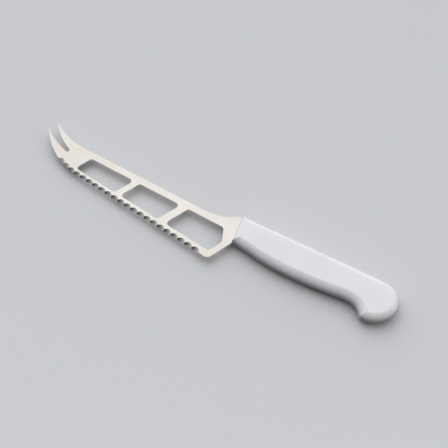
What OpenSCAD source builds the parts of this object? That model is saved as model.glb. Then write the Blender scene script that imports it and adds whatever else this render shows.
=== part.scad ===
// Cheese knife: a windowed steel blade with a forked tip, held by a handle
// that is moulded round the blade's tang.
// While it is drawn, x runs from the fork tips to the butt, y = 0 is the blade's
// straight spine and z = 0 is the flat side that the knife lies on. The finished
// part stands with its origin under the middle of its bounding box.

/* [Blade] */
// Length of the blade, from the lower fork tip to the handle
blade_length = 147.9; // [140:0.1:165]
// Thickness of the steel sheet
blade_thickness = 1.5; // [1.2:0.1:2]
// Depth of the blade at its heel, from the spine to the edge
heel_depth = 27.35; // [26:0.05:29]
// How far the heel's corner lies ahead of the handle
heel_setback = 5.3; // [4.5:0.1:7]
// Radius of the heel's corner
heel_radius = 3; // [1:0.5:4]
// Angle between the edge and the spine
edge_angle = 4.4; // [4:0.1:5]
// Angle of the heel and of the cross cuts to the spine
slant_angle = 66.4; // [63:0.2:70]
// Length of the curve that lifts the spine up to the handle
rise_length = 25; // [21:0.5:29]
// Step from the handle's top down to the spine where the steel leaves the handle
spine_step = 0.45; // [0.2:0.05:1]

/* [Windows] */
// Distance from the lower fork tip to the first window, along its top
window_start = 40.9; // [38:0.1:45]
// Width of the rim between the spine and the windows
spine_rim = 4.75; // [4:0.05:6]
// Width of the rim between the windows and the edge, at the heel
edge_rim = 4.75; // [4.4:0.05:6]
// Angle between the windows' lower side and the spine
floor_angle = 3.8; // [3.2:0.1:4.4]
// Strut between the first two windows, along the spine
front_strut = 4.5; // [3.5:0.1:6]
// Strut between the last two windows, along the spine
rear_strut = 5.6; // [4:0.1:7]
// Strut between the last window and the heel, along the spine
heel_strut = 4.3; // [3.5:0.1:6]
// Drop of the last window's pointed end below the spine
nose_drop = 13.8; // [12:0.1:15]
// Radius of the windows' corners
window_radius = 2.2; // [1.2:0.1:2.6]

/* [Fork] */
// Height of the upper tine's tip above the spine
fork_rise = 7.7; // [6.5:0.1:9]
// How far the upper tip lies behind the lower one
tip_setback = 2.9; // [2:0.1:4]
// Radius of the tips of the tines
tip_radius = 0.42; // [0.3:0.02:0.6]
// Length of the upper tine's curve down to the straight spine
tine_sweep = 32; // [29:0.5:35]
// Distance from the lower tip to the middle of the slot's round end
slot_length = 23; // [20:0.5:25]
// Drop of the slot's round end below the spine
slot_drop = 7.05; // [6.5:0.05:7.5]
// Radius of the slot's round end
slot_radius = 1.12; // [0.9:0.02:1.3]
// Bow of the slot's two sides
slot_bow = 1.2; // [0.8:0.1:1.5]
// Distance from the lower tip to the end of the straight edge
belly_reach = 39.3; // [37:0.1:42]
// Radius of the belly where the edge turns up to the fork
belly_radius = 53.3; // [50:0.1:57]
// Angle that the belly's first curve turns through
belly_turn = 37.2; // [35:0.2:39]
// Radius of the lower tine's outer side
tine_radius = 220; // [150:10:400]

/* [Scallops] */
// Distance between scallops along the edge
scallop_pitch = 5.2; // [4.8:0.1:6.5]
// Radius of the wheel that grinds them
scallop_radius = 3.9; // [3.2:0.1:4.4]
// How far each scallop reaches in from the edge, on the ground side
scallop_reach = 2.35; // [2.2:0.05:2.6]
// Slope of each scallop down to the edge
scallop_slope = 41; // [39:1:44]
// Distance from the heel's corner to the middle of the last scallop
scallop_start = 9.2; // [8.5:0.1:12]
// Length of the belly that carries scallops
scallop_belly = 15.5; // [13:0.5:18]

/* [Tang] */
// Length of the tang inside the handle
tang_length = 74; // [55:1:80]
// Width of the tang where it enters the handle
tang_root_width = 11; // [9:0.5:12]
// Width of the tang at its end
tang_end_width = 8; // [6.5:0.5:9]
// Diameter of the holes that the plastic fills
tang_hole = 4.5; // [3:0.5:5.5]
// Drop of the tang's middle below the spine, at its root
tang_drop = 1.4; // [0.5:0.1:2.5]

/* [Handle] */
// Length of the handle, from where the blade leaves it to the butt
handle_length = 102.1; // [97:0.1:115]
// Thickness of the handle
handle_thickness = 9.5; // [8:0.1:12]
// Climb of the handle's back against the blade's spine
handle_pitch = 2.5; // [1:0.1:4]
// Lean of the handle's front end
front_rake = 9; // [5:0.5:12]
// Height of the handle's front end above the blade's spine
front_rise = 6.9; // [5.5:0.05:8]
// Drop of the handle's front end below the blade's spine
front_drop = 10.5; // [9.5:0.1:11.5]
// Distance from the front to the deepest place of the belly
grip_run = 33.4; // [27:0.2:39]
// Drop of the belly below the blade's spine
grip_drop = 13.2; // [12:0.1:15]
// Distance from the butt to the throat, ahead of the hook
throat_setback = 26.5; // [24:0.5:29]
// Drop of the throat below the blade's spine
throat_drop = 9.3; // [8.5:0.1:10.5]
// Distance from the butt to the hook's point
hook_setback = 16; // [14.5:0.1:18]
// Drop of the hook's point below the blade's spine
hook_drop = 15.2; // [14:0.1:17]
// Drop of the butt's rearmost place below the blade's spine
butt_drop = 2; // [0.5:0.1:3.5]
// Distance from the butt to where the back starts to turn down
crown_setback = 14.8; // [14:0.1:17]
// Radius of the handle's edges at its front end
front_round = 2.6; // [1.5:0.1:3.1]
// Radius of the handle's edges along its back
back_round = 2.7; // [2.5:0.1:3.8]
// Radius of the handle's edges at the butt
butt_round = 3.2; // [2.5:0.1:3.8]
// Radius of the handle's edges at the hook
hook_round = 3.1; // [2:0.1:3.6]
// Radius of the handle's edges along its belly
grip_round = 3.85; // [3:0.05:3.9]

/* [Hidden] */

// Shares of the window row that the three windows take
window_shares = [0.375, 0.341, 0.284];
// Places of the tang's holes, as shares of its length
tang_hole_shares = [0.3, 0.72];
// Lengths of the curves' tangents, as shares of the curve's own span
rise_tangent_shares = [0.8, 0.24];
crown_tangent_shares = [0.57, 0.82];
butt_tangent_shares = [0.38, 0.56];
throat_tangent_shares = [0.33, 0.6];
grip_tangent_shares = [0.125, 0.55];
front_tangent_shares = [0.46, 0.5];

// Cutters run past what they cut by this much
overrun = 1;
// Headings of the hook's two sides where they meet in its point
hook_arrival = 172;
hook_departure = 127;
// Headings of the two tines at their tips
upper_tine_heading = 145;
lower_tine_heading = 138;
// Heading of the belly line where it reaches the handle's front
front_arrival = 175.5;
// Heading of the spine where it reaches the handle's front
rise_arrival = -14;
// Heading at which the slot's round end starts
slot_arc_start = -108;

// Steps that draw each curve
fine_steps = 14;
coarse_steps = 8;
corner_steps = 5;
round_steps = 6;
// Sides that draw each round cut
cut_sides = 48;
steel_colour = [0.92, 0.9, 0.87];
plastic_colour = [0.88, 0.885, 0.89];

total_length = blade_length + handle_length;
mid_plane = handle_thickness / 2;
half_thickness = blade_thickness / 2;

// Point on the handle's front end at a height y
function front_at(y) = [blade_length - y * tan(front_rake), y];
// Unit vector at an angle
function heading(a) = [cos(a), sin(a)];
function unit(v) = v / norm(v);
function last(list) = list[len(list) - 1];

// Cubic curve from p, leaving along u, to q, reached along v
function curve(p, u, v, q, steps) = [
  for (i = [0:steps]) let (t = i / steps, s = 1 - t)
    s * s * s * p + 3 * s * s * t * (p + u) + 3 * s * t * t * (q - v) + t * t * t * q
];

// Curve from p to q that bows to its right by the given amount
function bowed(p, q, bow, steps) = let (side = unit([q[1] - p[1], p[0] - q[0]])) [
  for (i = [0:steps]) let (t = i / steps)
    p + t * (q - p) + 4 * bow * t * (1 - t) * side
];

// Arc that rounds the corner b between a and c
function corner(a, b, c, radius) =
  let (u = unit(a - b), v = unit(c - b), half = acos(u * v) / 2)
  let (centre = b + unit(u + v) * radius / sin(half))
  let (from = b + u * radius / tan(half) - centre, to = b + v * radius / tan(half) - centre)
  let (start = atan2(from[1], from[0]), turn = atan2(from[0] * to[1] - from[1] * to[0], from * to))
  [for (i = [0:corner_steps]) centre + radius * heading(start + turn * i / corner_steps)];

// Outline with every corner rounded
function rounded(points, radius) = let (n = len(points)) [
  for (i = [0:n - 1]) each corner(points[(i + n - 1) % n], points[i], points[(i + 1) % n], radius)
];

// The edge, as a path from the heel's corner to the lower tip
heel_point = [blade_length - heel_setback, -heel_depth];
straight_edge = (heel_point[0] - belly_reach) / cos(edge_angle);
belly_length = belly_radius * belly_turn * PI / 180;
belly_start = heel_point + straight_edge * [-cos(edge_angle), sin(edge_angle)];
function belly_at(a) = belly_start
  + belly_radius * [sin(edge_angle) - sin(a), cos(edge_angle) - cos(a)];
tine_angle = edge_angle + belly_turn;
tine_start = belly_at(tine_angle);
function tine_at(a) = tine_start + tine_radius * [sin(tine_angle) - sin(a), cos(tine_angle) - cos(a)];
lower_tip_left = tip_radius * (1 + cos(lower_tine_heading + 90));
tine_end_angle = asin(sin(tine_angle) + (tine_start[0] - lower_tip_left) / tine_radius);
// Place and climb of the edge at a distance from the heel's corner
function edge_climb(s) = edge_angle + max(s - straight_edge, 0) * 180 / PI / belly_radius;
function edge_at(s) = s < straight_edge
  ? heel_point + s * [-cos(edge_angle), sin(edge_angle)]
  : belly_at(edge_climb(s));

// The tines and the slot between them
lower_tip = tine_at(tine_end_angle) - tip_radius * heading(lower_tine_heading + 90);
upper_tip = [tip_setback + tip_radius, fork_rise];
slot_end = [slot_length, -slot_drop];
function tip(centre, a) = [
  for (i = [0:corner_steps]) centre + tip_radius * heading(a + 90 - 180 * i / corner_steps)
];
upper_tip_arc = tip(upper_tip, upper_tine_heading);
lower_tip_arc = tip(lower_tip, lower_tine_heading);
sweep_top = last(upper_tip_arc);
sweep_radius = (pow(tine_sweep - sweep_top[0], 2) + pow(sweep_top[1], 2)) / (2 * sweep_top[1]);
sweep_angle = asin((tine_sweep - sweep_top[0]) / sweep_radius);
upper_tine_side = [
  for (i = [0:fine_steps]) let (a = sweep_angle * (1 - i / fine_steps))
    [tine_sweep - sweep_radius * sin(a), sweep_radius * (1 - cos(a))]
];
slot_arc = [
  for (i = [0:corner_steps]) slot_end + slot_radius * heading(slot_arc_start + 180 * i / corner_steps)
];
slot_lower_side = bowed(last(lower_tip_arc), slot_arc[0], slot_bow, fine_steps);
slot_upper_side = bowed(last(slot_arc), upper_tip_arc[0], -slot_bow, fine_steps);

// The spine's rise and the shoulders that meet the handle's front
spine_end = front_at(front_rise - spine_step);
rise_start = [spine_end[0] - rise_length, 0];
spine_rise = curve(rise_start, [rise_length * rise_tangent_shares[0], 0],
  rise_length * rise_tangent_shares[1] * heading(rise_arrival), spine_end, fine_steps);
heel_meets_front = front_at((heel_setback - heel_depth / tan(slant_angle))
  / (1 / tan(slant_angle) + tan(front_rake)));
heel_arc = corner(heel_meets_front, heel_point, belly_start, heel_radius);

// The tang, in line with the handle
tang_top = front_at(tang_root_width / 2 - tang_drop);
tang_bottom = front_at(-tang_root_width / 2 - tang_drop);
tang_end = [blade_length + tang_length, tang_length * tan(handle_pitch) - tang_drop];
tang_end_top = tang_end + [0, tang_end_width / 2];
tang_end_bottom = tang_end - [0, tang_end_width / 2];
tang_outline = [tang_top, tang_end_top, tang_end_bottom, tang_bottom];
// The handle's pocket for it, which is cut from a little ahead of the handle's front
function ahead(p, q) = p - overrun * unit(q - p);
pocket_outline = [
  ahead(tang_top, tang_end_top),
  tang_end_top,
  tang_end_bottom,
  ahead(tang_bottom, tang_end_bottom)
];

blade_outline = concat(
  upper_tine_side,
  spine_rise,
  tang_outline,
  [heel_meets_front],
  heel_arc,
  [for (i = [0:coarse_steps]) belly_at(edge_angle + belly_turn * i / coarse_steps)],
  [for (i = [1:fine_steps]) tine_at(tine_angle + (tine_end_angle - tine_angle) * i / fine_steps)],
  lower_tip_arc,
  slot_lower_side,
  slot_arc,
  slot_upper_side,
  upper_tip_arc
);

// The three windows: two slanted ones and a last one with a pointed end
slant = 1 / tan(slant_angle);
nose = [heel_point[0] + (heel_depth - nose_drop) * slant - heel_strut, -nose_drop];
row_end = nose[0] - (nose_drop - spine_rim) * slant;
row_length = row_end - window_start - front_strut - rear_strut;
second_start = window_start + row_length * window_shares[0] + front_strut;
third_start = second_start + row_length * window_shares[1] + rear_strut;
// Point of the windows' lower side below a slanted cut that starts at x on the upper side
floor_at_heel = edge_rim - heel_depth;
function floor_point(x) =
  let (y = (floor_at_heel + tan(floor_angle) * (heel_point[0] - x - spine_rim * slant))
    / (1 + tan(floor_angle) * slant))
  [x + (y + spine_rim) * slant, y];
nose_top = nose[0] + (nose_drop - spine_rim) * slant;
function slanted_window(x, length) = [
  [x, -spine_rim], [x + length, -spine_rim], floor_point(x + length), floor_point(x)
];
windows = [
  slanted_window(window_start, row_length * window_shares[0]),
  slanted_window(second_start, row_length * window_shares[1]),
  [[third_start, -spine_rim], [row_end, -spine_rim], nose, floor_point(nose_top), floor_point(third_start)]
];

// The scallops
scallop_count = floor((straight_edge + scallop_belly - scallop_start) / scallop_pitch) + 1;
scallop_run = scallop_reach / cos(scallop_slope) + blade_thickness + scallop_radius;

// The handle's outline, clockwise from its front top corner, as x, y and edge radius
front_top = front_at(front_rise);
front_bottom = front_at(-front_drop);
function back_at(x) = [x, front_rise + (x - front_top[0]) * tan(handle_pitch)];
crown = back_at(total_length - crown_setback);
butt = [total_length, -butt_drop];
hook = [total_length - hook_setback, -hook_drop];
throat = [total_length - throat_setback, -throat_drop];
grip = [blade_length + grip_run, -grip_drop];
crown_rise = crown[1] - butt[1];
butt_fall = butt[1] - hook[1];

// Curve whose points carry an edge radius that goes from r0 to r1, without its last point
function edged(p, u, v, q, r0, r1, steps) = let (points = curve(p, u, v, q, steps)) [
  for (i = [0:steps - 1]) [points[i][0], points[i][1], r0 + (r1 - r0) * i / steps]
];
function straight(p, q, r0, r1, steps) = edged(p, (q - p) / 3, (q - p) / 3, q, r0, r1, steps);

back_start = back_at(front_top[0] + crown_setback);
handle_curves = concat(
  straight(front_top, back_start, front_round, back_round, corner_steps),
  straight(back_start, crown, back_round, butt_round, corner_steps),
  edged(crown, crown_setback * crown_tangent_shares[0] * heading(handle_pitch),
    [0, -crown_rise * crown_tangent_shares[1]], butt, butt_round, butt_round, fine_steps),
  edged(butt, [0, -butt_fall * butt_tangent_shares[0]],
    hook_setback * butt_tangent_shares[1] * heading(hook_arrival), hook, butt_round, hook_round, fine_steps),
  edged(hook, (throat_setback - hook_setback) * throat_tangent_shares[0] * heading(hook_departure),
    [-(throat_setback - hook_setback) * throat_tangent_shares[1], 0],
    throat, hook_round, grip_round, fine_steps),
  edged(throat, [(grip[0] - throat[0]) * grip_tangent_shares[0], 0],
    [(grip[0] - throat[0]) * grip_tangent_shares[1], 0], grip, grip_round, grip_round, fine_steps),
  edged(grip, [-grip_run * front_tangent_shares[0], 0],
    grip_run * front_tangent_shares[1] * heading(front_arrival),
    front_bottom, grip_round, front_round, fine_steps),
  straight(front_bottom, front_top, front_round, front_round, corner_steps)
);
// Points nearer to the hook than this would cross each other where its edges are rounded
hook_clearance = hook_round * tan((hook_arrival - hook_departure) / 2);
function clear_of_hook(p) = let (d = norm([p[0], p[1]] - hook)) d == 0 || d > hook_clearance;
handle_outline = [for (p = handle_curves) if (clear_of_hook(p)) p];

// Where the edges are inset, each point moves along its corner's mitre
function outward(p, q) = unit([p[1] - q[1], q[0] - p[0]]);
function flat(p) = [p[0], p[1]];
function mitre(list, i) =
  let (n = len(list), here = flat(list[i]))
  let (a = outward(flat(list[(i + n - 1) % n]), here), b = outward(here, flat(list[(i + 1) % n])))
  (a + b) / (1 + a * b);
handle_mitres = [for (i = [0:len(handle_outline) - 1]) mitre(handle_outline, i)];
// Ring of the handle's skin at an angle a up its rounded edge, above or below the middle
function skin_ring(a, side) = [
  for (i = [0:len(handle_outline) - 1])
    let (p = handle_outline[i], m = handle_mitres[i] * p[2] * (1 - cos(a)))
    [p[0] - m[0], p[1] - m[1], mid_plane + side * (mid_plane - p[2] * (1 - sin(a)))]
];
skin_rings = concat(
  [for (i = [0:round_steps]) skin_ring(90 - 90 * i / round_steps, 1)],
  [for (i = [0:round_steps]) skin_ring(90 * i / round_steps, -1)]
);

// Middle of the bounding box
all_heights = concat([for (p = blade_outline) p[1]], [for (p = handle_outline) p[1]]);
box_middle = [total_length / 2, (max(all_heights) + min(all_heights)) / 2, 0];

// Blade, windows and tang as one flat shape
module blade_shape() {
  difference() {
    polygon(blade_outline);
    for (w = windows)
      polygon(rounded(w, window_radius));
    tang_holes();
  }
}

module tang_holes() {
  for (s = tang_hole_shares)
    translate([blade_length + tang_length * s, tang_end[1] * s - tang_drop * (1 - s)])
      circle(d = tang_hole, $fn = cut_sides);
}

// Room for the tang in the handle, with plastic standing where the tang has its holes
module pocket_shape() {
  difference() {
    polygon(pocket_outline);
    tang_holes();
  }
}

// One scallop's wheel path: a cylinder that slopes down through the ground side to the edge
module scallop(s) {
  place = edge_at(s);
  translate([place[0], place[1], mid_plane + half_thickness])
    rotate([0, 0, -edge_climb(s)])
      translate([0, scallop_reach, 0])
        rotate([90 + scallop_slope, 0, 0])
          translate([0, scallop_radius, -scallop_radius])
            cylinder(r = scallop_radius, h = scallop_run + scallop_radius, $fn = cut_sides);
}

module blade() {
  color(steel_colour)
  translate(-box_middle)
  difference() {
    translate([0, 0, mid_plane - half_thickness])
      linear_extrude(blade_thickness) blade_shape();
    for (i = [0:scallop_count - 1])
      scallop(scallop_start + scallop_pitch * i);
  }
}

// Solid form of the handle, before the tang's place is taken out of it
module handle_skin() {
  n = len(handle_outline);
  rings = len(skin_rings);
  points = [for (ring = skin_rings) each ring];
  sides = [
    for (k = [0:rings - 2], i = [0:n - 1])
      [k * n + (i + 1) % n, k * n + i, (k + 1) * n + i, (k + 1) * n + (i + 1) % n]
  ];
  top = [for (i = [0:n - 1]) i];
  bottom = [for (i = [0:n - 1]) rings * n - 1 - i];
  polyhedron(points, concat(sides, [top], [bottom]));
}

module handle() {
  color(plastic_colour)
  translate(-box_middle)
  difference() {
    handle_skin();
    translate([0, 0, mid_plane - half_thickness])
      linear_extrude(blade_thickness) pocket_shape();
  }
}

blade();
handle();
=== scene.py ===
"""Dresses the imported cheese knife: a satin steel blade with ground scallops and a white moulded handle.

Sizes are in millimetres, in the drawing's own axes: x runs from the fork tips to the butt, y = 0 is the
blade's straight spine and z = 0 is the surface that the knife lies on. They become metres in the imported
model's frame only where a mesh is made.
"""

import logging
import math
from dataclasses import dataclass
from enum import Enum

import bmesh
import bpy
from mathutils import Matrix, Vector
from mathutils.geometry import tessellate_polygon


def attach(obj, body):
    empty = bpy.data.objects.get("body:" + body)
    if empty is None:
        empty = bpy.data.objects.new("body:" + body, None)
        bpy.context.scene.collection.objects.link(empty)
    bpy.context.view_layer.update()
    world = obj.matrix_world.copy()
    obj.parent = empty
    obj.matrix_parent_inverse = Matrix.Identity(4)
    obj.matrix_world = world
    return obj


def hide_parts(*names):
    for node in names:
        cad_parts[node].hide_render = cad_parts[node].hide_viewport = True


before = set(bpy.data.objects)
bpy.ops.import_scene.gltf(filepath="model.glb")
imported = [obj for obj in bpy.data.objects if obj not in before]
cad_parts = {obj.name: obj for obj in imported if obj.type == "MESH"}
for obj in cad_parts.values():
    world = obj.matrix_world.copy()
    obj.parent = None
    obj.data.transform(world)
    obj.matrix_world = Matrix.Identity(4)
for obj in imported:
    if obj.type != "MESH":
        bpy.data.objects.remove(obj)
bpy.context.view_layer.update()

MM = 0.001
# Middle of the knife's box in the drawing's axes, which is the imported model's origin
BOX_MIDDLE = (125.0, -8.19821)
# Middle of the thickness of handle and blade, above the surface that the knife lies on
MID_PLANE = 4.75
# Points nearer to each other than this are the same point
SAME_POINT = 1e-6
# A face is part of a side where at least this much of its unit normal is level
LEAST_LEVEL = 0.15

log = logging.getLogger("cheese_knife")
Point = tuple[float, float]
Triple = tuple[float, float, float]
Line = list[Vector]
EdgedLine = list[tuple[Vector, float]]
Mesh = bmesh.types.BMesh
Vertex = bmesh.types.BMVert
Object = bpy.types.Object
Material = bpy.types.Material
Tree = bpy.types.NodeTree
Socket = bpy.types.NodeSocket
Inputs = dict[str | int, object]


class Side(Enum):
    """The two faces of a flat piece, by the sign of z on them."""

    GROUND = 1
    LYING = -1


class Ray(Enum):
    """The rays that show a thing to the eye, as the Light Path node names them."""

    CAMERA = "Is Camera Ray"
    GLOSSY = "Is Glossy Ray"
    TRANSMISSION = "Is Transmission Ray"


# Plane geometry


def heading(degrees: float) -> Vector:
    """Returns the unit vector at an angle from +x."""
    return Vector((math.cos(math.radians(degrees)), math.sin(math.radians(degrees))))


def spaced(first: float, span: float, steps: int) -> list[float]:
    """Returns evenly spaced values from first to first + span, both included."""
    return [first + span * i / steps for i in range(steps + 1)]


def angle_between(u: Vector, v: Vector) -> float:
    """Returns the angle between two unit vectors, in radians."""
    return math.acos(max(-1.0, min(1.0, u.dot(v))))


def climbed(low: float, high: float) -> Vector:
    """Returns the way along an arc of radius 1 on which an edge climbs from low to high degrees."""
    low, high = math.radians(low), math.radians(high)
    return Vector((math.sin(low) - math.sin(high), math.cos(low) - math.cos(high)))


def curve(start: Vector, leave: Vector, arrive: Vector, end: Vector, steps: int) -> Line:
    """Draws a cubic curve.

    Args:
        start: First point.
        leave: Tangent out of the first point.
        arrive: Tangent into the last point.
        end: Last point.
        steps: Number of stretches.

    Returns:
        The points, both ends included.
    """
    a, b = start + leave, end - arrive
    points = []
    for i in range(steps + 1):
        t = i / steps
        s = 1 - t
        points.append(s**3 * start + 3 * s * s * t * a + 3 * s * t * t * b + t**3 * end)
    return points


def bowed(start: Vector, end: Vector, bow: float, steps: int) -> Line:
    """Draws a shallow curve.

    Args:
        start: First point.
        end: Last point.
        bow: How far it stands off to its right in the middle.
        steps: Number of stretches.

    Returns:
        The points, both ends included.
    """
    run = end - start
    side = Vector((run.y, -run.x)).normalized()
    return [start + i / steps * run + 4 * bow * i / steps * (1 - i / steps) * side for i in range(steps + 1)]


def corner(before: Vector, tip: Vector, after: Vector, radius: float, steps: int) -> Line:
    """Rounds a corner with an arc that is tangent to both of its sides.

    Args:
        before: A point on the side that comes in.
        tip: The sharp corner.
        after: A point on the side that goes out.
        radius: Radius of the arc.
        steps: Number of stretches.

    Returns:
        The points of the arc.
    """
    u, v = (before - tip).normalized(), (after - tip).normalized()
    half = angle_between(u, v) / 2
    centre = tip + (u + v).normalized() * radius / math.sin(half)
    first = tip + u * radius / math.tan(half) - centre
    last = tip + v * radius / math.tan(half) - centre
    start = math.atan2(first.y, first.x)
    turn = math.atan2(first.x * last.y - first.y * last.x, first.dot(last))
    return [centre + radius * Vector((math.cos(a), math.sin(a))) for a in spaced(start, turn, steps)]


def rounded(points: Line, radius: float, steps: int) -> Line:
    """Returns an outline with an arc, of so many stretches, in place of each sharp corner."""
    corners = zip(points[-1:] + points[:-1], points, points[1:] + points[:1])
    return [p for sides in corners for p in corner(*sides, radius, steps)]


def mitres(outline: Line) -> Line:
    """Finds, for a clockwise outline, the way out of each point along its corner's mitre.

    Args:
        outline: The points of a closed outline.

    Returns:
        One vector a point; an inset of one millimetre moves the point back by exactly this much.
    """
    n = len(outline)
    found = []
    for i in range(n):
        a = (outline[i] - outline[i - 1]).normalized()
        b = (outline[(i + 1) % n] - outline[i]).normalized()
        a, b = Vector((-a.y, a.x)), Vector((-b.y, b.x))
        found.append((a + b) / (1 + a.dot(b)))
    return found


def thinned(outline: Line, gap: float) -> Line:
    """Drops each point that lies too near to the one kept before it.

    Args:
        outline: The points of a closed outline.
        gap: Least distance that is kept.

    Returns:
        The points that are left.
    """
    kept: Line = []
    for p in outline:
        if not kept or (p - kept[-1]).length > gap:
            kept.append(p)
    return kept if (kept[0] - kept[-1]).length > gap else kept[:-1]


def placed(x: float, y: float, z: float) -> Vector:
    """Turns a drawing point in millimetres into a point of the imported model, in metres."""
    return Vector(((x - BOX_MIDDLE[0]) * MM, (y - BOX_MIDDLE[1]) * MM, z * MM))


# Meshes and objects


def wall(mesh: Mesh, rings: list[Line]) -> list[list[Vertex]]:
    """Joins rings of equally many points with quads.

    Args:
        mesh: The mesh that takes them.
        rings: Closed rings, in metres, one above the other.

    Returns:
        The vertices of each ring.
    """
    made = [[mesh.verts.new(p) for p in ring] for ring in rings]
    for low, high in zip(made, made[1:]):
        for i in range(len(low)):
            j = (i + 1) % len(low)
            mesh.faces.new((low[i], low[j], high[j], high[i]))
    return made


def cap(mesh: Mesh, loops: list[list[Vertex]]) -> None:
    """Closes a flat face with triangles.

    Args:
        mesh: The mesh that takes them.
        loops: The outer loop, then the loop of each hole.
    """
    flat = [v for loop in loops for v in loop]
    for triangle in tessellate_polygon([[v.co for v in loop] for loop in loops]):
        mesh.faces.new([flat[i] for i in triangle])


def slab(loops: list[Line], low: float, high: float, ease: float) -> Mesh:
    """Makes a flat plate with holes and eased edges.

    Args:
        loops: The outline, clockwise, then each hole, the other way round.
        low: Height of the lower face.
        high: Height of the upper face.
        ease: Width of the small bevel along every edge, or zero for sharp ones.

    Returns:
        A closed mesh with its faces pointing outwards.
    """
    mesh = bmesh.new()
    steps = [(0, low), (0, high)]
    if ease:
        steps = [(ease, low), (0, low + ease), (0, high - ease), (ease, high)]
    bottoms, tops = [], []
    for loop in loops:
        points = list(zip(loop, mitres(loop)))
        rings = [[placed(p.x - w.x * inset, p.y - w.y * inset, z) for p, w in points] for inset, z in steps]
        made = wall(mesh, rings)
        bottoms.append(made[0])
        tops.append(made[-1])
    cap(mesh, bottoms)
    cap(mesh, tops)
    bmesh.ops.recalc_face_normals(mesh, faces=mesh.faces)
    return mesh


def stand(name: str, data: bpy.types.ID) -> Object:
    """Adds an object to the scene, at its origin.

    Args:
        name: The object's name.
        data: Its mesh, curve, light or camera.

    Returns:
        The object.
    """
    made = bpy.data.objects.new(name, data)
    bpy.context.scene.collection.objects.link(made)
    return made


def as_object(name: str, mesh: Mesh) -> Object:
    """Turns a gathered mesh into an object.

    Args:
        name: Name of the object and its mesh.
        mesh: The gathered mesh, which is freed.

    Returns:
        The object, at the origin of the scene.
    """
    data = bpy.data.meshes.new(name)
    mesh.to_mesh(data)
    mesh.free()
    return stand(name, data)


def baked(source: Object, name: str) -> Object:
    """Replaces an object by a plain mesh of what its modifiers make of it.

    Args:
        source: The object with its modifiers, which is removed.
        name: Name of the new object and its mesh.

    Returns:
        The new object.
    """
    graph = bpy.context.evaluated_depsgraph_get()
    shape = source.evaluated_get(graph)
    data = bpy.data.meshes.new_from_object(shape, preserve_all_data_layers=True, depsgraph=graph)
    data.name = name
    made = stand(name, data)
    bpy.data.objects.remove(source)
    return made


def smooth_but_for(made: Object, crease: float, ridge: float = 180.0) -> None:
    """Shades an object smooth, but for its crisp edges.

    Args:
        made: The object.
        crease: Least turn of a crisp edge, in degrees.
        ridge: Least turn, seen from above, of a crisp edge that climbs a corner of the outline.
    """
    mesh = bmesh.new()
    mesh.from_mesh(made.data)
    for face in mesh.faces:
        face.smooth = True
    for edge in mesh.edges:
        edge.smooth = edge.is_manifold and edge.calc_face_angle(0) < math.radians(crease)
        ways = [face.normal.xy for face in edge.link_faces]
        if len(ways) == 2 and min(way.length for way in ways) > LEAST_LEVEL:
            edge.smooth = edge.smooth and ways[0].angle(ways[1]) <= math.radians(ridge)
    mesh.to_mesh(made.data)
    mesh.free()


# Node trees


def add(tree: Tree, kind: str, inputs: Inputs | None = None, **settings: object) -> bpy.types.Node:
    """Adds a node.

    Args:
        tree: The tree that takes it.
        kind: The node's type.
        inputs: For each named or numbered input, its value or the socket that feeds it.
        settings: The node's own properties.

    Returns:
        The new node.
    """
    node = tree.nodes.new(kind)
    for name, value in settings.items():
        setattr(node, name, value)
    for key, value in (inputs or {}).items():
        if isinstance(value, Socket):
            tree.links.new(value, node.inputs[key])
        else:
            node.inputs[key].default_value = value
    return node


def calc(tree: Tree, operation: str, *values: Socket | float) -> Socket:
    """Adds a step of arithmetic on one or two values and returns its result."""
    return add(tree, "ShaderNodeMath", dict(enumerate(values)), operation=operation).outputs[0]


def part_of(tree: Tree, vector: Socket, axis: str) -> Socket:
    """Adds a node that takes one axis out of a vector and returns it."""
    return add(tree, "ShaderNodeSeparateXYZ", {0: vector}).outputs[axis]


def between(
    tree: Tree, value: Socket, low: float, high: float, start: float = 0.3, end: float = 0.7
) -> Socket:
    """Adds a node that carries start and end, a noise's usual range, over to low and high."""
    spread = {"Value": value, "From Min": start, "From Max": end, "To Min": low, "To Max": high}
    return add(tree, "ShaderNodeMapRange", spread).outputs[0]


def linear(code: str) -> tuple[float, float, float, float]:
    """Turns an sRGB hex colour such as #E0E2E5 into the linear colour that sockets take."""
    values = [int(code[i : i + 2], 16) / 255 for i in (1, 3, 5)]
    return (*[v / 12.92 if v <= 0.04045 else ((v + 0.055) / 1.055) ** 2.4 for v in values], 1.0)


def blend_colours(tree: Tree, share: Socket, first: str, second: str) -> Socket:
    """Adds a mix of two hex colours by a share and returns its colour."""
    mix = {0: share, 6: linear(first), 7: linear(second)}
    return add(tree, "ShaderNodeMix", mix, data_type="RGBA").outputs[2]


def speckle(tree: Tree, place: Socket, grain: Triple, detail: float = 2.0) -> Socket:
    """Adds a noise whose grains have a size along each axis.

    Args:
        tree: The tree that takes it.
        place: The place on the object, in metres.
        grain: Size of the grains, in millimetres.
        detail: Number of finer layers in it.

    Returns:
        The noise's value.
    """
    scales = [1 / (size * MM) for size in grain]
    scaled = add(tree, "ShaderNodeMapping", {"Vector": place, "Scale": scales}, vector_type="POINT")
    noise = {"Vector": scaled.outputs[0], "Scale": 1.0, "Detail": detail}
    return add(tree, "ShaderNodeTexNoise", noise).outputs[0]


def relief(tree: Tree, height: Socket, strength: float, depth: float, under: Socket | None = None) -> Socket:
    """Adds a bump.

    Args:
        tree: The tree that takes it.
        height: Height, from 0 to 1.
        strength: How much of it shows.
        depth: What a height of 1 stands for, in millimetres.
        under: The normal of a bump that this one lies on.

    Returns:
        The bumped normal.
    """
    inputs = {"Height": height, "Strength": strength, "Distance": depth * MM}
    if under:
        inputs["Normal"] = under
    return add(tree, "ShaderNodeBump", inputs).outputs[0]


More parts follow.
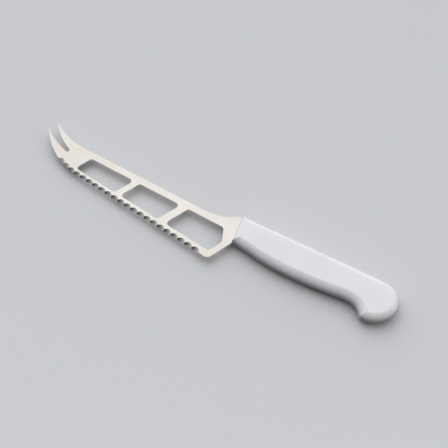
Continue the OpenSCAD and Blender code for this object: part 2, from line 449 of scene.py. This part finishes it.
def new_material(name: str) -> tuple[Material, Tree, Socket]:
    """Starts a material with no nodes.

    Args:
        name: The material's name.

    Returns:
        The material, its tree, and the place on the object in metres, as a socket.
    """
    material = bpy.data.materials.new(name)
    material.use_nodes = True
    tree = material.node_tree
    tree.nodes.clear()
    return material, tree, add(tree, "ShaderNodeTexCoord").outputs["Object"]


def show(tree: Tree, kind: str, surface: Inputs) -> None:
    """Adds a material's shader and the output that shows it."""
    shader = add(tree, kind, surface)
    add(tree, "ShaderNodeOutputMaterial", {"Surface": shader.outputs[0]})


# Finishes


@dataclass(frozen=True)
class BrushedSteel:
    """Stainless sheet, belt-brushed along the blade: a warm, pale satin with a faint long grain."""

    name: str = "stainless_steel_belt_brushed"
    bright: str = "#D8D5CF"
    dull: str = "#D1CDC6"
    # Broad soft patches where the belt pressed a little more or less
    patches: Triple = (38.0, 17.0, 17.0)
    roughness: float = 0.3
    roughness_swing: float = 0.04
    # The brush lines are finer than this on the real sheet; this width is the finest that shows
    grain: Triple = (14.0, 0.35, 0.35)
    grain_detail: float = 3.0
    bump: float = 0.0015
    bump_strength: float = 0.35

    def make(self) -> Material:
        """Makes the material.

        Returns:
            The finished material.
        """
        material, tree, place = new_material(self.name)
        lines = speckle(tree, place, self.grain, self.grain_detail)
        clouds = speckle(tree, place, self.patches)
        swing = self.roughness_swing
        surface = {
            "Base Color": blend_colours(tree, between(tree, clouds, 0.0, 1.0), self.bright, self.dull),
            "Metallic": 1.0,
            "Roughness": between(tree, lines, self.roughness - swing, self.roughness + swing),
            "Normal": relief(tree, lines, self.bump_strength, self.bump),
        }
        show(tree, "ShaderNodeBsdfPrincipled", surface)
        return material


@dataclass(frozen=True)
class GroundSteel:
    """Steel of the scallops, finely lined, with painted shade on each hollow's tip-side wall, so that its
    heel-side wall shows lighter as though lit from the tip's side.
    """

    name: str = "stainless_steel_ground_painted_shade"
    # The steel's own colour, then the colour of the painted shade on the scallops' tip-side walls
    bright: str = "#D8D5D0"
    painted_shade: str = "#4D4B49"
    # From all painted shade to none, as shares of the wheel's radius off the scallop's middle, from its
    # tip-side wall to its heel-side wall
    painted_shade_span: Point = (-0.6, 0.5)
    # The painted shade fades towards the tip, where the belly turns up and the scallops catch more light, so
    # that they stay light there.
    # These places are on the imported model's x
    shade_fade_span: Point = (-105.0, -90.0)
    least_painted_shade: float = 0.25
    roughness: float = 0.38
    roughness_swing: Point = (-0.05, 0.06)
    grain: Triple = (0.3, 4.0, 4.0)
    bump: float = 0.004
    bump_strength: float = 0.4

    def make(self) -> Material:
        """Makes the material.

        Returns:
            The finished material.
        """
        material, tree, place = new_material(self.name)
        lines = speckle(tree, place, self.grain)
        side = add(tree, "ShaderNodeAttribute", attribute_name="towards_heel").outputs["Fac"]
        shade_fade_span = (x * MM for x in self.shade_fade_span)
        shade_fade = between(tree, part_of(tree, place, "X"), self.least_painted_shade, 1.0, *shade_fade_span)
        # Painted shade: each scallop's tip-side wall is darkened, less so towards the tip
        painted_shade = calc(tree, "MULTIPLY", between(tree, side, 1.0, 0.0, *self.painted_shade_span), shade_fade)
        smoothest, roughest = (self.roughness + swing for swing in self.roughness_swing)
        surface = {
            "Base Color": blend_colours(tree, painted_shade, self.bright, self.painted_shade),
            "Metallic": 1.0,
            "Roughness": between(tree, lines, smoothest, roughest),
            "Normal": relief(tree, lines, self.bump_strength, self.bump),
        }
        show(tree, "ShaderNodeBsdfPrincipled", surface)
        return material


@dataclass(frozen=True)
class MouldedPlastic:
    """White ABS from a spark-eroded mould: a soft satin with a very fine even skin."""

    name: str = "abs_moulded_satin_white"
    pale: str = "#E1E2E5"
    shade: str = "#DCDDE1"
    patches: Triple = (22.0, 14.0, 14.0)
    roughness: float = 0.42
    roughness_swing: float = 0.03
    ior: float = 1.52
    # The mould's skin is nearer 0.1 mm; this grain is the finest that shows
    skin: float = 0.45
    bump: float = 0.004
    bump_strength: float = 0.3
    # Width of the faint line where the mould's halves met, round the middle of the thickness
    seam: float = 0.22
    seam_depth: float = 0.02
    seam_strength: float = 0.6

    def make(self) -> Material:
        """Makes the material.

        Returns:
            The finished material.
        """
        material, tree, place = new_material(self.name)
        clouds = speckle(tree, place, self.patches)
        grains = speckle(tree, place, (self.skin,) * 3)
        away = calc(tree, "ABSOLUTE", calc(tree, "SUBTRACT", part_of(tree, place, "Z"), MID_PLANE * MM))
        parting = between(tree, away, 1.0, 0.0, 0.0, self.seam * MM / 2)
        skin = relief(tree, grains, self.bump_strength, self.bump)
        swing = self.roughness_swing
        surface = {
            "Base Color": blend_colours(tree, between(tree, clouds, 0.0, 1.0), self.pale, self.shade),
            "Roughness": between(tree, grains, self.roughness - swing, self.roughness + swing),
            "IOR": self.ior,
            "Normal": relief(tree, parting, self.seam_strength, self.seam_depth, skin),
        }
        show(tree, "ShaderNodeBsdfPrincipled", surface)
        return material


# The knife's two pieces


@dataclass
class Blade:
    """The stamped and ground steel sheet, from the fork to the end of the hidden tang."""

    name: str = "steel_blade"
    length: float = 147.9
    thickness: float = 1.5
    ease: float = 0.14
    heel_depth: float = 27.35
    heel_setback: float = 5.3
    heel_radius: float = 3.0
    edge_angle: float = 4.4
    slant_angle: float = 66.4
    rise_length: float = 25.0
    rise_tangents: Point = (0.8, 0.24)
    rise_arrival: float = -14.0
    spine_step: float = 0.45
    # The three windows
    window_start: float = 40.9
    spine_rim: float = 4.75
    edge_rim: float = 4.75
    floor_angle: float = 3.8
    front_strut: float = 4.5
    rear_strut: float = 5.6
    heel_strut: float = 4.3
    nose_drop: float = 13.8
    window_radius: float = 2.2
    window_shares: Triple = (0.375, 0.341, 0.284)
    # The fork
    fork_rise: float = 7.7
    tip_setback: float = 2.9
    tip_radius: float = 0.42
    tine_sweep: float = 32.0
    slot_length: float = 23.0
    slot_drop: float = 7.05
    slot_radius: float = 1.12
    slot_bow: float = 1.2
    slot_arc_start: float = -108.0
    belly_reach: float = 39.3
    belly_radius: float = 53.3
    belly_turn: float = 37.2
    tine_radius: float = 220.0
    upper_tine_heading: float = 145.0
    lower_tine_heading: float = 138.0
    # The scallops
    pitch: float = 5.2
    wheel_radius: float = 3.9
    wheel_sides: int = 96
    reach: float = 2.35
    slope: float = 41.0
    first_scallop: float = 9.2
    scalloped_belly: float = 15.5
    # The tang
    tang_length: float = 74.0
    tang_root: float = 11.0
    tang_end: float = 8.0
    tang_hole: float = 4.5
    tang_hole_sides: int = 48
    tang_drop: float = 1.4
    tang_hole_shares: Point = (0.3, 0.72)
    # The handle's front, which the blade's shoulders meet
    handle_pitch: float = 2.5
    front_rake: float = 9.0
    front_rise: float = 6.9
    # Stretches that draw each curve, each small arc and the whole row of scallops
    fine: int = 40
    arc: int = 12
    row_steps: int = 400
    # Least distance between two points of the outline
    least_gap: float = 0.02
    # Edges that turn by more degrees than this stay crisp
    crease: float = 28.0

    def front_at(self, y: float) -> Vector:
        """Returns the point of the handle's front end at a height."""
        return Vector((self.length - y * math.tan(math.radians(self.front_rake)), y))

    @property
    def heel(self) -> Vector:
        """The heel's corner, before it is rounded."""
        return Vector((self.length - self.heel_setback, -self.heel_depth))

    @property
    def straight_edge(self) -> float:
        """Length of the straight part of the edge."""
        return (self.heel.x - self.belly_reach) / math.cos(math.radians(self.edge_angle))

    @property
    def tine_angle(self) -> float:
        """Angle at which the belly goes over into the lower tine."""
        return self.edge_angle + self.belly_turn

    def belly_at(self, angle: float) -> Vector:
        """Returns the point of the belly where the edge climbs at an angle."""
        start = self.heel - self.straight_edge * heading(-self.edge_angle)
        return start + self.belly_radius * climbed(self.edge_angle, angle)

    def edge_at(self, distance: float) -> Vector:
        """Finds a point of the edge.

        Args:
            distance: Its distance along the edge from the heel's corner.

        Returns:
            The point, on the straight part or on the belly.
        """
        beyond = distance - self.straight_edge
        if beyond < 0:
            return self.heel - distance * heading(-self.edge_angle)
        return self.belly_at(self.edge_angle + math.degrees(beyond / self.belly_radius))

    def tine_at(self, angle: float) -> Vector:
        """Returns the point of the lower tine's outer side where it climbs at an angle."""
        return self.belly_at(self.tine_angle) + self.tine_radius * climbed(self.tine_angle, angle)

    def tine_tip(self, centre: Vector, towards: float) -> Line:
        """Returns the half circle that ends a tine."""
        return [centre + self.tip_radius * heading(a) for a in spaced(towards + 90, -180, self.arc)]

    def fork(self) -> tuple[Line, Line]:
        """Draws the fork.

        Returns:
            The outline from the belly round the lower tine, the slot and the upper tip, and the
            upper tine's back, from its tip to the spine.
        """
        start_angle = self.tine_angle
        left = self.tip_radius * (1 + heading(self.lower_tine_heading + 90).x)
        sine = math.sin(math.radians(start_angle)) + (self.belly_at(start_angle).x - left) / self.tine_radius
        end_angle = math.degrees(math.asin(sine))
        tine = [self.tine_at(a) for a in spaced(start_angle, end_angle - start_angle, self.fine)[1:]]
        lower = tine[-1] - self.tip_radius * heading(self.lower_tine_heading + 90)
        upper = Vector((self.tip_setback + self.tip_radius, self.fork_rise))
        lower_arc = self.tine_tip(lower, self.lower_tine_heading)
        upper_arc = self.tine_tip(upper, self.upper_tine_heading)
        slot_end = Vector((self.slot_length, -self.slot_drop))
        turns = spaced(self.slot_arc_start, 180, self.arc)
        slot = [slot_end + self.slot_radius * heading(a) for a in turns]
        low_side = bowed(lower_arc[-1], slot[0], self.slot_bow, self.fine)
        high_side = bowed(slot[-1], upper_arc[0], -self.slot_bow, self.fine)
        top = upper_arc[-1]
        radius = ((self.tine_sweep - top.x) ** 2 + top.y**2) / (2 * top.y)
        sweep = math.asin((self.tine_sweep - top.x) / radius)
        bends = [sweep * (1 - i / self.fine) for i in range(self.fine + 1)]
        back = [Vector((self.tine_sweep - radius * math.sin(a), radius * (1 - math.cos(a)))) for a in bends]
        return tine + lower_arc + low_side + slot + high_side + upper_arc, back

    def tang(self, lead: float = 0.0) -> Line:
        """Draws the tang.

        Args:
            lead: How far ahead of the handle's front it begins.

        Returns:
            Its four corners.
        """
        end = Vector((self.tang_length, self.tang_length * math.tan(math.radians(self.handle_pitch))))
        end += Vector((self.length, -self.tang_drop))
        high, low = end + Vector((0, self.tang_end / 2)), end - Vector((0, self.tang_end / 2))
        top, bottom = (self.front_at(side * self.tang_root / 2 - self.tang_drop) for side in (1, -1))
        above, below = lead * (high - top).normalized(), lead * (low - bottom).normalized()
        return [top - above, high, low, bottom - below]

    def tang_holes(self) -> list[Line]:
        """Draws the holes that lock the tang in the plastic.

        Returns:
            The outline of each.
        """
        rise = self.tang_length * math.tan(math.radians(self.handle_pitch))
        sides = self.tang_hole_sides
        holes = []
        for share in self.tang_hole_shares:
            centre = Vector((self.length + self.tang_length * share, rise * share - self.tang_drop))
            holes.append([centre + self.tang_hole / 2 * heading(360 * i / sides) for i in range(sides)])
        return holes

    def outline(self) -> Line:
        """Draws the whole sheet.

        Returns:
            The outline, clockwise from the upper tine.
        """
        rake, lean = math.tan(math.radians(self.front_rake)), 1 / math.tan(math.radians(self.slant_angle))
        front_end, back = self.fork()
        spine_end = self.front_at(self.front_rise - self.spine_step)
        first, last = (self.rise_length * share for share in self.rise_tangents)
        rise_start = Vector((spine_end.x - self.rise_length, 0))
        rise = curve(rise_start, Vector((first, 0)), last * heading(self.rise_arrival), spine_end, self.fine)
        shoulder = self.front_at((self.heel_setback - self.heel_depth * lean) / (lean + rake))
        heel_arc = corner(shoulder, self.heel, self.edge_at(self.straight_edge), self.heel_radius, self.arc)
        belly = [self.belly_at(a) for a in spaced(self.edge_angle, self.belly_turn, self.fine)]
        return thinned(back + rise + self.tang() + [shoulder] + heel_arc + belly + front_end, self.least_gap)

    def windows(self) -> list[Line]:
        """Draws the three windows: two slanted ones and one with a pointed end.

        Returns:
            The outline of each, from the fork to the heel.
        """
        lean, fall = 1 / math.tan(math.radians(self.slant_angle)), math.tan(math.radians(self.floor_angle))
        nose_x = self.heel.x + (self.heel_depth - self.nose_drop) * lean - self.heel_strut
        nose = Vector((nose_x, -self.nose_drop))
        row_end = nose.x - (self.nose_drop - self.spine_rim) * lean
        row = row_end - self.window_start - self.front_strut - self.rear_strut
        base, steep = self.edge_rim - self.heel_depth, 1 + fall * lean

        def floor_point(x: float) -> Vector:
            """Returns the corner of a window's lower side below a slanted cut that starts at x."""
            y = (base + fall * (self.heel.x - x - self.spine_rim * lean)) / steep
            return Vector((x + (y + self.spine_rim) * lean, y))

        found = []
        start = self.window_start
        for share, strut in zip(self.window_shares[:2], (self.front_strut, self.rear_strut)):
            end = start + row * share
            top = [Vector((start, -self.spine_rim)), Vector((end, -self.spine_rim))]
            found.append(top + [floor_point(end), floor_point(start)])
            start = end + strut
        back_corner = floor_point(nose.x + (self.nose_drop - self.spine_rim) * lean)
        top = [Vector((start, -self.spine_rim)), Vector((row_end, -self.spine_rim))]
        found.append(top + [nose, back_corner, floor_point(start)])
        return [rounded(window, self.window_radius, self.arc) for window in found]

    def scallop_path(self) -> Object:
        """Draws the middle line of the scallops.

        Returns:
            A curve object that keeps their number.
        """
        run = self.straight_edge + self.scalloped_belly - self.first_scallop
        count = int(run / self.pitch) + 1
        far = self.first_scallop + self.pitch * (count - 1)
        distances = spaced(far, self.first_scallop - far, self.row_steps)
        data = bpy.data.curves.new("scallop_path", "CURVE")
        data.dimensions = "3D"
        spline = data.splines.new("POLY")
        spline.points.add(len(distances) - 1)
        for point, distance in zip(spline.points, distances):
            place = self.edge_at(distance)
            point.co = (*placed(place.x, place.y, MID_PLANE + self.thickness / 2), 1.0)
        made = stand("scallop_path", data)
        made["scallops"] = count
        return made

    def wheel(self, tree: Tree, given: bpy.types.bpy_prop_collection) -> Socket:
        """Adds the nodes that make the grinding wheel, leant over beside the edge.

        Args:
            tree: The tree that takes them.
            given: The sockets of the tree's own inputs.

        Returns:
            The wheel's solid. Its faces are marked as ground, and say how far they lie towards the heel, by
            which the ground finish paints shade on the tip-side walls.
        """
        radius, depth = given["Wheel Radius"], given["Depth"]
        sizes = {"Vertices": self.wheel_sides, "Radius": radius, "Depth": depth}
        disc = add(tree, "GeometryNodeMeshCylinder", sizes, fill_type="NGON").outputs["Mesh"]
        ahead = calc(tree, "SUBTRACT", calc(tree, "MULTIPLY", depth, 0.5), radius)
        lift = add(tree, "ShaderNodeCombineXYZ", {"Y": radius, "Z": ahead}).outputs[0]
        lifted = add(tree, "GeometryNodeTransform", {"Geometry": disc, "Translation": lift}).outputs[0]
        tilt = calc(tree, "ADD", given["Slope"], math.pi / 2)
        lean = add(tree, "ShaderNodeCombineXYZ", {"X": tilt}).outputs[0]
        turned = add(tree, "FunctionNodeEulerToRotation", {0: lean}).outputs[0]
        inward = add(tree, "ShaderNodeCombineXYZ", {"Y": given["Reach"]}).outputs[0]
        swung = {"Geometry": lifted, "Translation": inward, "Rotation": turned}
        solid = add(tree, "GeometryNodeTransform", swung).outputs[0]
        place = add(tree, "GeometryNodeInputPosition").outputs[0]
        off_middle = calc(tree, "DIVIDE", part_of(tree, place, "X"), radius)
        marks = (("ground", True, "BOOLEAN"), ("towards_heel", off_middle, "FLOAT"))
        for name, value, kind in marks:
            mark = {"Geometry": solid, "Name": name, "Value": value}
            stored = add(tree, "GeometryNodeStoreNamedAttribute", mark, data_type=kind, domain="FACE")
            solid = stored.outputs[0]
        return solid

    def scallop_tree(self) -> Tree:
        """Makes the tree that grinds a row of scallops into a plate along a path.

        Returns:
            The tree, for a Geometry Nodes modifier.
        """
        tree = bpy.data.node_groups.new("grind_scallops", "GeometryNodeTree")
        tree.is_modifier = True
        kinds = {"Plate": "Geometry", "Edge Path": "Object", "Scallops": "Int"}
        kinds |= dict.fromkeys(("Wheel Radius", "Reach", "Slope", "Depth"), "Float")
        kinds |= dict.fromkeys(("Sheet Finish", "Ground Finish"), "Material")
        for name, kind in kinds.items():
            tree.interface.new_socket(name, in_out="INPUT", socket_type=f"NodeSocket{kind}")
        tree.interface.new_socket("Blade", in_out="OUTPUT", socket_type="NodeSocketGeometry")
        given = add(tree, "NodeGroupInput").outputs

        path = add(tree, "GeometryNodeObjectInfo", {"Object": given["Edge Path"]}).outputs["Geometry"]
        row = {"Curve": path, "Count": given["Scallops"]}
        places = add(tree, "GeometryNodeCurveToPoints", row, mode="COUNT").outputs
        tangent = {"Vector": places["Tangent"]}
        along = add(tree, "FunctionNodeAlignRotationToVector", tangent, axis="X").outputs[0]
        row = {"Points": places["Points"], "Instance": self.wheel(tree, given), "Rotation": along}
        wheels = add(tree, "GeometryNodeInstanceOnPoints", row).outputs[0]
        cutters = add(tree, "GeometryNodeRealizeInstances", {0: wheels}).outputs[0]

        bodies = {"Mesh 1": given["Plate"], "Mesh 2": cutters, "Self Intersection": True}
        cut = add(tree, "GeometryNodeMeshBoolean", bodies, operation="DIFFERENCE", solver="EXACT").outputs[0]
        whole = add(tree, "GeometryNodeRealizeInstances", {0: cut}).outputs[0]
        sheet = {"Geometry": whole, "Material": given["Sheet Finish"]}
        plain = add(tree, "GeometryNodeSetMaterial", sheet).outputs[0]
        named = {"Name": "ground"}
        ground = add(tree, "GeometryNodeInputNamedAttribute", named, data_type="BOOLEAN").outputs[0]
        hollows = {"Geometry": plain, "Selection": ground, "Material": given["Ground Finish"]}
        dressed = add(tree, "GeometryNodeSetMaterial", hollows).outputs[0]
        add(tree, "NodeGroupOutput", {"Blade": dressed})
        return tree

    def build(self, sheet: Material, ground: Material) -> Object:
        """Makes the blade and lets it stand for its solid.

        Args:
            sheet: Finish of the sheet.
            ground: Finish of the scallops, with painted shade on their tip-side walls.

        Returns:
            The finished piece.
        """
        low = MID_PLANE - self.thickness / 2
        holes = [hole[::-1] for hole in self.windows()] + self.tang_holes()
        plate = as_object("plate", slab([self.outline(), *holes], low, low + self.thickness, self.ease))
        path = self.scallop_path()
        tree = self.scallop_tree()
        grinder = plate.modifiers.new("scallops", "NODES")
        grinder.node_group = tree
        depth = self.reach / math.cos(math.radians(self.slope)) + self.thickness + 2 * self.wheel_radius
        values = {
            "Edge Path": path,
            "Scallops": path["scallops"],
            "Wheel Radius": self.wheel_radius * MM,
            "Reach": self.reach * MM,
            "Slope": math.radians(self.slope),
            "Depth": depth * MM,
            "Sheet Finish": sheet,
            "Ground Finish": ground,
        }
        for item in tree.interface.items_tree:
            if item.name in values:
                grinder[item.identifier] = values[item.name]
        piece = baked(plate, self.name)
        bpy.data.objects.remove(path)
        smooth_but_for(piece, self.crease)
        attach(piece, "root")
        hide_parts("blade")
        log.info("%s: %d scallops, %d faces", piece.name, values["Scallops"], len(piece.data.polygons))
        return piece


@dataclass
class Handle:
    """The white plastic moulding round the tang, from its flat front to the hooked butt."""

    blade: Blade
    name: str = "moulded_handle"
    length: float = 102.1
    thickness: float = 9.5
    front_drop: float = 10.5
    grip_run: float = 33.4
    grip_drop: float = 13.2
    throat_setback: float = 26.5
    throat_drop: float = 9.3
    hook_setback: float = 16.0
    hook_drop: float = 15.2
    butt_drop: float = 2.0
    crown_setback: float = 14.8
    # Radii of the rounded edges, place by place
    front_round: float = 2.6
    back_round: float = 2.7
    butt_round: float = 3.2
    hook_round: float = 3.6
    grip_round: float = 3.85
    shoulder_round: float = 3.6
    # Lengths of the curves' tangents, as shares of each curve's own span
    crown_tangents: Point = (0.57, 0.82)
    butt_tangents: Point = (0.38, 0.56)
    throat_tangents: Point = (0.33, 0.6)
    grip_tangents: Point = (0.125, 0.55)
    front_tangents: Point = (0.46, 0.5)
    hook_arrival: float = 172.0
    hook_departure: float = 127.0
    front_arrival: float = 175.5
    # Stretches that draw each curve and each rounded edge
    fine: int = 40
    rounding: int = 12
    # The rounded edges run further in over the faces than they run down the sides
    spread: float = 1.08
    # Their arc stops short of a right angle, so that the edge of each face shows as a soft line
    edge_arc: float = 62.0
    # A narrow flat ring inside each face keeps the faces flat to the eye
    rim: float = 0.35
    # Beside a sharp corner the outline's points keep this many times the room that its rounding takes
    corner_room: float = 1.15
    # The tang's pocket is cut from this far ahead of the front
    pocket_lead: float = 1.0
    # Least turns of a crisp edge, in degrees: of any edge, and of one that climbs a corner
    crease: float = 35.0
    ridge: float = 25.0

    def stretch(self, start: Vector, leave: Vector, arrive: Vector, end: Vector, radii: Point) -> EdgedLine:
        """Draws one curve of the outline without its last point.

        Args:
            start: First point.
            leave: Tangent out of the first point.
            arrive: Tangent into the last point.
            end: Last point.
            radii: Radius of the rounded edge at the first and the last point.

        Returns:
            Points with the radius of the rounded edge at each.
        """
        points = curve(start, leave, arrive, end, self.fine)[:-1]
        first, last = radii
        return [(p, first + (last - first) * i / self.fine) for i, p in enumerate(points)]

    def outline(self) -> EdgedLine:
        """Draws the handle as seen from above.

        Returns:
            The outline, clockwise from the front top corner, with the edges' radii.
        """
        knife, pitch = self.blade, math.radians(self.blade.handle_pitch)
        total = knife.length + self.length
        front_top, front_bottom = knife.front_at(knife.front_rise), knife.front_at(-self.front_drop)

        def back_at(x: float) -> Vector:
            """Returns the point of the straight back at x."""
            return Vector((x, front_top.y + (x - front_top.x) * math.tan(pitch)))

        back_start, crown = back_at(front_top.x + self.crown_setback), back_at(total - self.crown_setback)
        butt, hook = Vector((total, -self.butt_drop)), Vector((total - self.hook_setback, -self.hook_drop))
        throat = Vector((total - self.throat_setback, -self.throat_drop))
        grip = Vector((knife.length + self.grip_run, -self.grip_drop))
        neck, belly = self.throat_setback - self.hook_setback, grip.x - throat.x

        def side(p: Vector, q: Vector, first: float, last: float) -> EdgedLine:
            """Draws a straight stretch."""
            return self.stretch(p, (q - p) / 3, (q - p) / 3, q, (first, last))

        drawn = side(front_top, back_start, self.front_round, self.back_round)
        drawn += side(back_start, crown, self.back_round, self.butt_round)
        leave = self.crown_setback * self.crown_tangents[0] * heading(knife.handle_pitch)
        arrive = Vector((0, -(crown.y - butt.y) * self.crown_tangents[1]))
        drawn += self.stretch(crown, leave, arrive, butt, (self.butt_round, self.butt_round))
        leave = Vector((0, -(butt.y - hook.y) * self.butt_tangents[0]))
        arrive = self.hook_setback * self.butt_tangents[1] * heading(self.hook_arrival)
        drawn += self.stretch(butt, leave, arrive, hook, (self.butt_round, self.hook_round))
        leave = neck * self.throat_tangents[0] * heading(self.hook_departure)
        arrive = Vector((-neck * self.throat_tangents[1], 0))
        drawn += self.stretch(hook, leave, arrive, throat, (self.hook_round, self.grip_round))
        leave, arrive = (Vector((belly * share, 0)) for share in self.grip_tangents)
        drawn += self.stretch(throat, leave, arrive, grip, (self.grip_round, self.grip_round))
        leave = Vector((-self.grip_run * self.front_tangents[0], 0))
        arrive = self.grip_run * self.front_tangents[1] * heading(self.front_arrival)
        drawn += self.stretch(grip, leave, arrive, front_bottom, (self.grip_round, self.shoulder_round))
        drawn += side(front_bottom, front_top, self.front_round, self.front_round)
        return self.clear_of(drawn, [hook, front_top, front_bottom])

    def clear_of(self, drawn: EdgedLine, tips: Line) -> EdgedLine:
        """Drops the points beside each sharp corner that would cross where the edges are rounded.

        Args:
            drawn: The outline with its radii.
            tips: The sharp corners.

        Returns:
            The outline without those points.
        """
        n = len(drawn)
        kept = list(drawn)
        for tip in tips:
            at = next(i for i, (p, _) in enumerate(drawn) if (p - tip).length < SAME_POINT)
            before = (drawn[at][0] - drawn[at - 2][0]).normalized()
            after = (drawn[(at + 2) % n][0] - drawn[at][0]).normalized()
            reach = drawn[at][1] * self.spread + self.rim
            room = reach * math.tan(angle_between(before, after) / 2) * self.corner_room
            kept = [(p, r) for p, r in kept if (p - tip).length < SAME_POINT or (p - tip).length > room]
        return kept

    def rings(self) -> list[Line]:
        """Draws the skin.

        Returns:
            Its closed rings, from the ground side's face down to the lying side's.
        """
        drawn = self.outline()
        ways = mitres([p for p, _ in drawn])
        half, turn = self.thickness / 2, math.radians(self.edge_arc)

        def ring(angle: float, side: Side, inner: float = 0.0) -> Line:
            """Draws one ring.

            Args:
                angle: How far up the rounded edge it lies, in radians.
                side: The side that it belongs to.
                inner: A further move in over the face.

            Returns:
                Its points, in metres.
            """
            points = []
            run, rise = (1 - math.cos(angle)) / (1 - math.cos(turn)), math.sin(angle) / math.sin(turn)
            for (p, radius), way in zip(drawn, ways):
                inset, lift = radius * self.spread * run + inner, half - radius * (1 - rise)
                points.append(placed(p.x - way.x * inset, p.y - way.y * inset, MID_PLANE + side.value * lift))
            return points

        angles = spaced(0.0, turn, self.rounding)
        upper = [ring(turn, Side.GROUND, self.rim)] + [ring(a, Side.GROUND) for a in reversed(angles)]
        lower = [ring(a, Side.LYING) for a in angles] + [ring(turn, Side.LYING, self.rim)]
        return upper + lower

    def build(self, plastic: Material) -> Object:
        """Makes the handle with the tang's pocket in it and lets it stand for its solid.

        Args:
            plastic: Finish of the moulding.

        Returns:
            The finished piece.
        """
        mesh = bmesh.new()
        made = wall(mesh, self.rings())
        mesh.faces.new(made[0])
        mesh.faces.new(made[-1])
        bmesh.ops.recalc_face_normals(mesh, faces=mesh.faces)
        skin = as_object("skin", mesh)
        low = MID_PLANE - self.blade.thickness / 2
        pocket_loops = [self.blade.tang(self.pocket_lead), *self.blade.tang_holes()]
        pocket = as_object("pocket", slab(pocket_loops, low, low + self.blade.thickness, 0))
        hollow = skin.modifiers.new("pocket", "BOOLEAN")
        hollow.operation, hollow.solver, hollow.object = "DIFFERENCE", "EXACT", pocket
        piece = baked(skin, self.name)
        bpy.data.objects.remove(pocket)
        piece.data.materials.clear()
        piece.data.materials.append(plastic)
        smooth_but_for(piece, self.crease, self.ridge)
        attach(piece, "root")
        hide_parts("handle")
        log.info("%s: %d faces", piece.name, len(piece.data.polygons))
        return piece


# The studio


@dataclass(frozen=True)
class SoftLamp:
    """A large rectangular lamp that faces the knife."""

    name: str
    place: Triple
    size: Point
    watts: float

    def hang(self) -> None:
        """Hangs the lamp in the scene."""
        data = bpy.data.lights.new(self.name, "AREA")
        data.shape, data.energy = "RECTANGLE", self.watts
        data.size, data.size_y = (side * MM for side in self.size)
        lamp = stand(self.name, data)
        lamp.location = Vector(self.place) * MM
        lamp.rotation_euler = (-lamp.location).to_track_quat("-Z", "Y").to_euler()


@dataclass(frozen=True)
class SoftSun:
    """Even light from far off, as through a wide window."""

    name: str
    place: Triple
    spread: float
    level: float

    def hang(self) -> None:
        """Hangs the light in the scene."""
        data = bpy.data.lights.new(self.name, "SUN")
        data.energy, data.angle = self.level, math.radians(self.spread)
        stand(self.name, data).rotation_euler = Vector(self.place).to_track_quat("Z", "Y").to_euler()


@dataclass
class Studio:
    """The pale floor, the soft light and the camera at the photograph's angle."""

    azimuth: float = 30.86
    elevation: float = 60.0
    eye: Triple = (102.77, -142.45, 304.4)
    lens: float = 45.96
    sensor: float = 36.0
    # Nearest and farthest distance that the camera sees, in metres
    clip: Point = (0.01, 20.0)
    # The floor and the sky look pale, and throw less light back on the sides that face them
    floor_seen: str = "#D3D5D8"
    floor_thrown: str = "#4C4E52"
    floor_size: float = 6000.0
    floor_roughness: float = 0.3
    sky_axis: Triple = (-0.52, 0.52, 0.68)
    sky_seen: Point = (0.5, 0.8)
    sky_thrown: Point = (0.08, 2.08)
    # How far towards the sky's axis each of the two begins to brighten
    seen_from: float = -0.1
    thrown_from: float = 0.36
    # It hangs where the sheet mirrors it to the camera
    lamp: SoftLamp = SoftLamp("soft_lamp", (-230.0, 270.0, 600.0), (700.0, 600.0), 0.65)
    # It brightens the rim of the butt
    daylight: SoftSun = SoftSun("window_light", (0.8, 0.3, 0.42), 60.0, 0.8)

    def place_camera(self) -> None:
        """Stands the camera where the photograph was taken from."""
        data = bpy.data.cameras.new("camera")
        data.lens, data.sensor_width = self.lens, self.sensor
        data.clip_start, data.clip_end = self.clip
        camera = stand("camera", data)
        camera.location = Vector(self.eye) * MM
        camera.rotation_euler = (math.radians(90 - self.elevation), 0, math.radians(self.azimuth))
        bpy.context.scene.camera = camera

    def share_seen(self, tree: Tree) -> Socket:
        """Adds the nodes that tell rays for the eye from rays that only carry light.

        Args:
            tree: The tree that takes them.

        Returns:
            1 for the rays that show a thing to the eye, and 0 for the others.
        """
        path = add(tree, "ShaderNodeLightPath")
        total: Socket | float = 0.0
        for ray in Ray:
            total = calc(tree, "ADD", path.outputs[ray.value], total)
        return total

    def lay_floor(self) -> None:
        """Lays a plain pale floor under the knife."""
        half = self.floor_size * MM / 2
        corners = ((-1, -1), (1, -1), (1, 1), (-1, 1))
        mesh = bmesh.new()
        mesh.faces.new([mesh.verts.new((x * half, y * half, 0)) for x, y in corners])
        floor = as_object("floor", mesh)
        material, tree, _ = new_material("studio_floor_painted")
        colour = blend_colours(tree, self.share_seen(tree), self.floor_thrown, self.floor_seen)
        show(tree, "ShaderNodeBsdfDiffuse", {"Color": colour, "Roughness": self.floor_roughness})
        floor.data.materials.append(material)

    def hang_sky(self) -> None:
        """Surrounds the knife with a pale sky that is brighter behind it and above."""
        world = bpy.data.worlds.new("studio")
        world.use_nodes = True
        tree = world.node_tree
        tree.nodes.clear()
        ways = {0: add(tree, "ShaderNodeTexCoord").outputs["Generated"], 1: self.sky_axis}
        towards = add(tree, "ShaderNodeVectorMath", ways, operation="DOT_PRODUCT").outputs["Value"]
        seen = between(tree, towards, *self.sky_seen, self.seen_from, 1.0)
        thrown = between(tree, towards, *self.sky_thrown, self.thrown_from, 1.0)
        level = add(tree, "ShaderNodeMix", {0: self.share_seen(tree), 2: thrown, 3: seen}).outputs[0]
        sky = add(tree, "ShaderNodeBackground", {"Color": (1, 1, 1, 1), "Strength": level})
        add(tree, "ShaderNodeOutputWorld", {"Surface": sky.outputs[0]})
        bpy.context.scene.world = world

    def build(self) -> None:
        """Sets up the studio."""
        bpy.context.scene.view_settings.view_transform = "Standard"
        self.place_camera()
        self.lay_floor()
        self.hang_sky()
        self.lamp.hang()
        self.daylight.hang()


def main() -> None:
    """Builds the studio and the knife's two pieces in order."""
    logging.basicConfig(level=logging.INFO, format="%(name)s: %(message)s")
    Studio().build()
    blade = Blade()
    blade.build(BrushedSteel().make(), GroundSteel().make())
    Handle(blade).build(MouldedPlastic().make())


if __name__ == "__main__":
    main()
